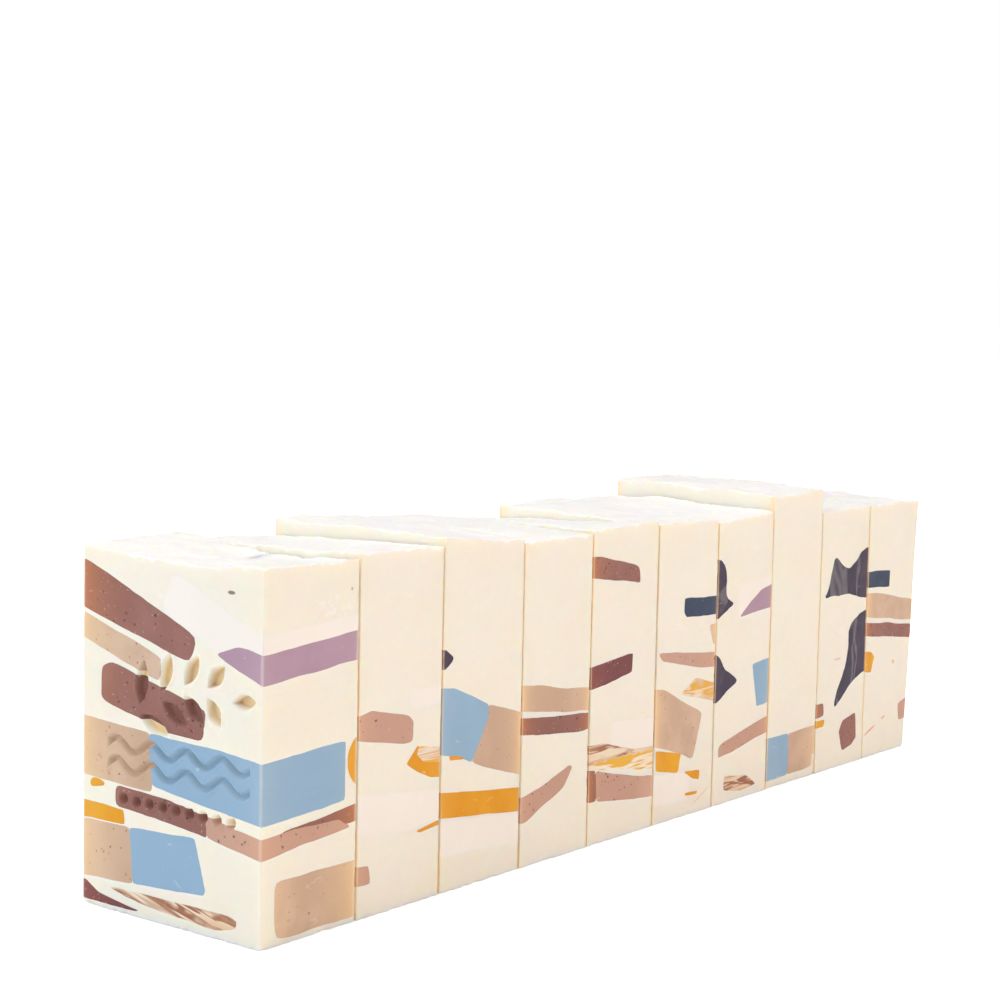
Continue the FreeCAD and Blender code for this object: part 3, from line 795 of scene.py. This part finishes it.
# Stray marks in the cream: bar, X in from the right face, along, up, radii, tilt, tone, strength.
RED_STREAK = (0.80, 0.33, 0.25)
STRAY_MARKS = (
    ("bar_01", 9.2, 0.0, 73.2, (1.35, 1.6, 0.5), 0.0, (0.10, 0.06, 0.05), 0.9),
    ("bar_01", 0.0, 27.0, 72.5, (1.0, 0.4, 0.5), 0.0, (0.20, 0.12, 0.12), 0.7),
    ("bar_06", 0.0, 22.9, 4.3, (1.2, 5.5, 0.35), 24.0, RED_STREAK, 0.35),
    ("bar_09", 0.0, 11.3, 32.3, (1.2, 2.6, 0.5), 0.0, RED_STREAK, 0.35),
    ("bar_10", 0.0, 4.0, 8.0, (1.2, 4.6, 0.45), 19.0, RED_STREAK, 0.75),
    ("bar_10", 0.0, 12.5, 10.9, (1.2, 1.5, 0.45), 18.0, RED_STREAK, 0.65),
    ("bar_10", 0.0, 17.7, 27.5, (1.0, 0.8, 0.8), 0.0, (0.88, 0.50, 0.12), 0.8),
)


def cream_material():
    """The cream soap: faint mottling and smears, stray marks, scuffs and a top painted paler as
    light from above makes it.
    """
    n = Nodes("cream_soap")
    tone = n.mix(n.between(n.cloud(14.0), 0.35, 0.65), (0.93, 0.90, 0.82), (0.925, 0.89, 0.795))
    mottled = n.between(n.cloud(2.2, detail=4.0), 0.42, 0.72, 0.0, 0.35)
    tone = n.mix(mottled, tone, (0.95, 0.92, 0.84))
    smear = n.cloud(2.6, n.stretched(0.35, 0.35, 1.0, 3.0), 5.0, 0.8)
    tone = n.mix(n.between(smear, 0.66, 0.74, 0.0, 0.5), tone, (0.97, 0.96, 0.93))
    dark = specks(n, 16.0, 0.10, 0.035, 9.0)
    tone = n.mix(n.maths("MULTIPLY", dark, 0.7), tone, (0.30, 0.20, 0.16))
    blush = specks(n, 11.0, 0.12, 0.05, 2.0)
    tone = n.mix(n.maths("MULTIPLY", blush, 0.35), tone, (0.90, 0.62, 0.40))
    surface(n, 0.46)
    for bar, x, along, up, radii, tilt, mark_tone, strength in STRAY_MARKS:
        spot = n.maths("MULTIPLY", mark(n, bar, x, along, up, radii, tilt), strength)
        tone = n.mix(spot, tone, mark_tone)
    scuffed = mark(n, "bar_01", 0.0, 21.5, 69.0, (1.5, 8.0, 4.0))
    scratches = n.between(n.cloud(1.1, n.stretched(1.0, 0.8, 1.0), 3.0), 0.55, 0.60, 0.0, 0.85)
    tone = n.mix(n.maths("MULTIPLY", scuffed, scratches), tone, (0.99, 0.98, 0.97))
    # Painted light: faces that look up turn paler and whiter, as the light from above makes them
    # look.
    painted_top_light = n.maths("MULTIPLY", n.attribute("on_top"), 0.8)
    tone = n.mix(painted_top_light, tone, (0.95, 0.945, 0.94))
    # Painted light and shade: a warm glow at the edges, and a deep amber shade in the pressed
    # relief.
    finish_colour(n, tone, (0.96, 0.91, 0.78), 0.5, (0.80, 0.57, 0.22))
    n.shader.inputs["Subsurface Weight"].default_value = 0.75
    n.shader.inputs["Subsurface Radius"].default_value = (1.0, 0.62, 0.32)
    n.shader.inputs["Subsurface Scale"].default_value = 2.2 * MM
    return n.material


def chunk_material(
    name, tone, second, glow_tone, glow=0.5, grains=(), roughness=0.48, gloss=0.0, painted_gloss_streaks=0.0
):
    """A coloured soap: two close tones in clouds, pale bubbles, scuffs and its own grains, and
    where asked pale streaks painted as glossy highlights.
    """
    n = Nodes(name)
    mixed = n.mix(n.between(n.cloud(7.0, detail=4.0), 0.35, 0.65), tone, second)
    deeper = tuple(c * c**0.06 * 0.98 for c in second)
    mixed = n.mix(n.between(n.cloud(45.0, detail=1.0), 0.40, 0.62, 0.0, 0.8), mixed, deeper)
    pale = tuple(c + (1 - c) * 0.45 for c in tone)
    bubbles = specks(n, 2.2, 0.15 if grains else 0.50, 0.09, 1.0)
    mixed = n.mix(n.maths("MULTIPLY", bubbles, 0.55), mixed, pale)
    smear = n.cloud(2.4, n.stretched(0.4, 0.4, 1.0, 5.0), 5.0, 0.8)
    mixed = n.mix(n.between(smear, 0.68, 0.74, 0.0, 0.4), mixed, pale)
    # Painted highlight: pale curved streaks standing in for glossy highlights on the chunk.
    if painted_gloss_streaks:
        drawn = n.cloud(7.0, n.stretched(0.5, 0.5, 0.22, 8.0), 2.0, 1.6)
        line = n.maths("MULTIPLY", n.between(drawn, 0.55, 0.60), n.between(drawn, 0.66, 0.61))
        mixed = n.mix(n.maths("MULTIPLY", line, painted_gloss_streaks), mixed, pale)
    for number, (grain_tone, size_mm, share, radius) in enumerate(grains):
        mask = specks(n, size_mm, share, radius, 11.0 + 3 * number)
        mixed = n.mix(n.maths("MULTIPLY", mask, 0.85), mixed, grain_tone)
    surface(n, roughness, gloss)
    # The last tone is the painted shade of the pressed relief, a darker copy of the chunk's tone.
    finish_colour(n, mixed, glow_tone, glow, tuple(c * c**0.35 * 0.75 for c in tone))
    return n.material


def marbled_material(name, golden, gold_below=None):
    """Peach and cream drawn out with fine brown streaks; golden ones have mustard streaks.

    Below the height gold_below the piece turns to mustard drawn out with cream."""
    n = Nodes(name)
    flow = n.cloud(14.0, n.stretched(0.4, 0.4, 1.3, 2.0), 1.5, 0.8)
    base = n.mix(n.between(flow, 0.35, 0.62), (0.78, 0.56, 0.38), (0.90, 0.78, 0.62))
    peach = n.between(n.cloud(8.0, n.stretched(0.4, 0.4, 1.3, 5.0), 2.0, 1.0), 0.45, 0.70, 0.0, 0.6)
    base = n.mix(peach, base, (0.76, 0.47, 0.30))
    if golden:
        drawn = n.cloud(7.5, n.stretched(0.3, 0.3, 1.2, 7.0), 2.0, 1.2)
    else:
        drawn = n.cloud(3.2, n.stretched(0.16, 0.16, 1.7, 12.0, STREAK_TILT), 2.0, 0.7)
    streak = n.maths("MULTIPLY", n.between(drawn, 0.47, 0.52), n.between(drawn, 0.66, 0.57))
    strength = n.between(n.cloud(9.0, n.stretched(offset=3.0)), 0.30, 0.48, 0.45, 1.0)
    streak = n.maths("MULTIPLY", streak, strength)
    base = n.mix(streak, base, (0.82, 0.46, 0.07) if golden else (0.38, 0.155, 0.09))
    thin = n.cloud(2.6, n.stretched(0.14, 0.14, 1.6, 21.0, STREAK_TILT), 1.5, 0.6)
    line = n.maths("MULTIPLY", n.between(thin, 0.54, 0.59), n.between(thin, 0.69, 0.61))
    line = n.maths("MULTIPLY", line, 0.6)
    base = n.mix(line, base, (0.95, 0.90, 0.80) if golden else (0.50, 0.25, 0.15))
    if gold_below:
        height = n.node("ShaderNodeSeparateXYZ", Vector=n.place).outputs["Z"]
        wavy = n.maths("ADD", height, n.maths("MULTIPLY", n.cloud(6.0), 4.0 * MM))
        mustard = n.mix(streak, (0.86, 0.50, 0.06), (0.95, 0.88, 0.74))
        lowest = n.between(wavy, gold_below + 1.7 * MM, gold_below + 2.4 * MM, 1.0, 0.0)
        base = n.mix(lowest, base, mustard)
    surface(n, 0.44)
    # Painted light and shade: a warm glow at the edges, and a darker shade in the pressed relief.
    finish_colour(n, base, (0.90, 0.60, 0.30), 0.3, (0.5, 0.3, 0.15))
    return n.material


HALF_GOLDEN_BAR = "bar_05"
MARBLING = {
    "bar_02": "golden_chunks",
    "bar_06": "golden_chunks",
    HALF_GOLDEN_BAR: "half_golden_chunks",
}
GOLDEN_SHARE = 0.4
STREAK_TILT = 12.0
DARK_SEED = (0.10, 0.05, 0.06)
RED_SEED = (0.42, 0.10, 0.06)


def make_materials():
    dark_grains = (
        (DARK_SEED, 1.6, 0.90, 0.20),
        (DARK_SEED, 3.4, 0.90, 0.13),
        ((0.5, 0.3, 0.26), 1.4, 0.60, 0.18),
    )
    low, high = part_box(f"{HALF_GOLDEN_BAR}_marbled_chunks")
    gold_below = low[2] + GOLDEN_SHARE * (high[2] - low[2])
    # In each chunk_material call the third tone is the warm light painted near the bar's edges, and
    # the number after it is its strength.
    return {
        "cream_block": cream_material(),
        "brown_chunks": chunk_material(
            "brown_soap", (0.34, 0.165, 0.145), (0.30, 0.14, 0.12), (0.62, 0.24, 0.10), 0.8,
            dark_grains,
        ),
        "tan_chunks": chunk_material(
            "tan_soap", (0.69, 0.505, 0.385), (0.61, 0.43, 0.315), (0.90, 0.64, 0.38), 1.0,
            ((RED_SEED, 1.8, 0.75, 0.17), ((0.42, 0.24, 0.17), 1.5, 0.55, 0.16)),
        ),
        "blue_chunks": chunk_material(
            "blue_soap", (0.34, 0.53, 0.74), (0.305, 0.485, 0.685), (0.50, 0.64, 0.72), 0.3
        ),
        "lilac_chunks": chunk_material(
            "lilac_soap", (0.50, 0.34, 0.46), (0.46, 0.31, 0.42), (0.66, 0.48, 0.56), 0.3
        ),
        "white_chunks": chunk_material(
            "white_soap", (0.97, 0.94, 0.90), (0.96, 0.925, 0.88), (0.97, 0.94, 0.90), 0.3
        ),
        "mustard_chunks": chunk_material(
            "mustard_soap", (0.87, 0.43, 0.012), (0.80, 0.35, 0.010), (0.90, 0.50, 0.10), 0.4
        ),
        "pink_chunks": chunk_material(
            "pink_soap", (0.65, 0.42, 0.345), (0.60, 0.37, 0.29), (0.85, 0.50, 0.32), 0.5,
            dark_grains,
        ),
        "plum_chunks": chunk_material(
            "plum_soap", (0.24, 0.085, 0.09), (0.20, 0.07, 0.075), (0.42, 0.12, 0.08), 0.5,
            dark_grains,
        ),
        "navy_chunks": chunk_material(
            "navy_soap", (0.050, 0.031, 0.075), (0.040, 0.026, 0.062), (0.11, 0.07, 0.11), 0.3,
            roughness=0.36, gloss=0.15, painted_gloss_streaks=0.25,
        ),
        "teal_chunks": chunk_material(
            "teal_soap", (0.048, 0.072, 0.132), (0.042, 0.064, 0.118), (0.11, 0.14, 0.19), 0.3
        ),
        "marbled_chunks": marbled_material("marbled_soap", False),
        "golden_chunks": marbled_material("marbled_golden_soap", True),
        "half_golden_chunks": marbled_material("marbled_half_golden_soap", False, gold_below),
    }


# ---- putting each bar together -------------------------------------------------------------


def dress(piece, node, bar, material):
    """Gives a piece its material and its body, and hides the CAD node that it stands for."""
    piece.data.materials.clear()
    piece.data.materials.append(material)
    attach(piece, bar.name)
    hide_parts(node)


def build_bar(name, materials):
    """One rough block, cut into its cream piece and its chunk pieces."""
    bar = Bar(name)
    points, quads = box_surface(*bar.grid())
    rough = new_object("rough_" + name, bar.shape(points), quads)
    rough.data.materials.append(skin)
    chunks = [n for n in frame["record"]["behaviour"]["bodies"][name] if n != bar.block]
    tools = {n: good_tool(n, bar, rough) for n in chunks}
    made = {bar.block: [("DIFFERENCE", tools[n]) for n in chunks]}
    for place, node in enumerate(chunks):
        earlier = [("DIFFERENCE", tools[n]) for n in chunks[:place]]
        made[node] = [("INTERSECT", tools[node]), *earlier]
    for node, steps in made.items():
        mesh = cut_mesh(node + "_soap", rough, steps)
        finish_mesh(mesh, bar)
        piece = bpy.data.objects.new(node + "_soap", mesh)
        bpy.context.scene.collection.objects.link(piece)
        is_chunk = node != bar.block
        # Light passes a chunk on its way into the cream round it, so no dark line is left.
        piece.visible_shadow = not is_chunk
        piece.visible_diffuse = not is_chunk
        kind = node[len(name) + 1 :]
        if kind == "marbled_chunks":
            kind = MARBLING.get(name, kind)
        dress(piece, node, bar, materials[kind])
    for tool in tools.values():
        bpy.data.objects.remove(tool)
    bpy.data.objects.remove(rough)


# ---- camera, floor and light ---------------------------------------------------------------


CAMERA_ANGLES = (37.8605, 5.1302, 1.2139)  # azimuth, elevation, roll
CAMERA_PLACE = (0.322595, -0.302868, 0.131602)  # in metres, Y from the loaf's front face
LIGHTS = (
    # name, place, aimed at, width and height, power, tone
    ("key", (-0.55, -0.95, 0.75), (0, -0.05, 0.04), (0.7, 0.7), 8.6, (0.985, 0.995, 1)),
    ("top", (-0.15, 0.05, 1.1), (0, 0, 0.04), (0.9, 0.9), 6.9, (1, 1, 1)),
    ("warm", (1.1, 0.08, 0.45), (0, 0, 0.04), (0.6, 0.9), 6.2, (1, 0.80, 0.67)),
    ("rear", (0.15, 1.15, 0.3), (0, 0, 0.04), (0.6, 0.4), 2.0, (1, 0.96, 0.90)),
)


def add_camera():
    """The view from the front right, low, with a slight roll."""
    azimuth, elevation, roll = (math.radians(a) for a in CAMERA_ANGLES)
    x, ahead, z = CAMERA_PLACE
    front = cad_box[0][1]
    data = bpy.data.cameras.new("camera")
    data.lens = 75.86
    data.sensor_width = 36.0
    data.clip_end = 50.0
    camera = bpy.data.objects.new("camera", data)
    turn = (
        Matrix.Rotation(azimuth, 4, "Z")
        @ Matrix.Rotation(math.pi / 2 - elevation, 4, "X")
        @ Matrix.Rotation(roll, 4, "Z")
    )
    camera.matrix_world = Matrix.Translation((x, front + ahead, z)) @ turn
    bpy.context.scene.collection.objects.link(camera)
    bpy.context.scene.camera = camera


FLOOR_HALF = 6.0


def add_floor():
    """A pale floor that brightens away from the loaf until it is as white as the backdrop."""
    half = FLOOR_HALF
    mesh = bpy.data.meshes.new("floor")
    mesh.from_pydata(
        [(-half, -half, 0), (half, -half, 0), (half, half, 0), (-half, half, 0)], [], [(0, 1, 2, 3)]
    )
    n = Nodes("floor")
    base = n.mix(n.cloud(60.0), (0.93, 0.93, 0.93), (0.95, 0.95, 0.95))
    n.put(n.shader.inputs["Base Color"], base)
    n.shader.inputs["Roughness"].default_value = 0.8
    n.shader.inputs["Specular IOR Level"].default_value = 0.1
    n.shader.inputs["Emission Color"].default_value = (1, 1, 1, 1)
    seen = n.tree.nodes.new("ShaderNodeLightPath").outputs["Is Camera Ray"]
    length = n.tree.nodes.new("ShaderNodeVectorMath")
    length.operation = "LENGTH"
    n.put(length.inputs[0], n.place)
    fade = n.between(length.outputs["Value"], 0.10, 0.50, 0.5, 1.0)
    n.put(n.shader.inputs["Emission Strength"], n.maths("MULTIPLY", seen, fade))
    mesh.materials.append(n.material)
    floor = bpy.data.objects.new("floor", mesh)
    floor.location.z = -0.0001
    bpy.context.scene.collection.objects.link(floor)


def add_area(name, place, target, size, power, tone):
    data = bpy.data.lights.new(name, "AREA")
    data.shape = "RECTANGLE"
    data.size, data.size_y = size
    data.energy = power
    data.color = tone
    light = bpy.data.objects.new(name, data)
    turn = (Vector(target) - Vector(place)).to_track_quat("-Z", "Y")
    light.matrix_world = Matrix.Translation(place) @ turn.to_matrix().to_4x4()
    bpy.context.scene.collection.objects.link(light)


def add_light():
    """A white backdrop that lights the loaf only softly, and the four soft lights."""
    scene = bpy.context.scene
    world = bpy.data.worlds.new("studio")
    world.use_nodes = True
    tree = world.node_tree
    shown = tree.nodes["Background"]
    shown.inputs["Color"].default_value = (1, 1, 1, 1)
    shown.inputs["Strength"].default_value = 1.0
    lit = tree.nodes.new("ShaderNodeBackground")
    lit.inputs["Color"].default_value = (1, 0.975, 0.945, 1)
    lit.inputs["Strength"].default_value = 0.22
    seen = tree.nodes.new("ShaderNodeLightPath")
    mix = tree.nodes.new("ShaderNodeMixShader")
    tree.links.new(seen.outputs["Is Camera Ray"], mix.inputs["Fac"])
    tree.links.new(lit.outputs["Background"], mix.inputs[1])
    tree.links.new(shown.outputs["Background"], mix.inputs[2])
    tree.links.new(mix.outputs["Shader"], tree.nodes["World Output"].inputs["Surface"])
    scene.world = world
    for light in LIGHTS:
        add_area(*light)
    scene.view_settings.view_transform = "Standard"


add_camera()
add_floor()
add_light()
materials = make_materials()
for bar_name in BARS:
    build_bar(bar_name, materials)
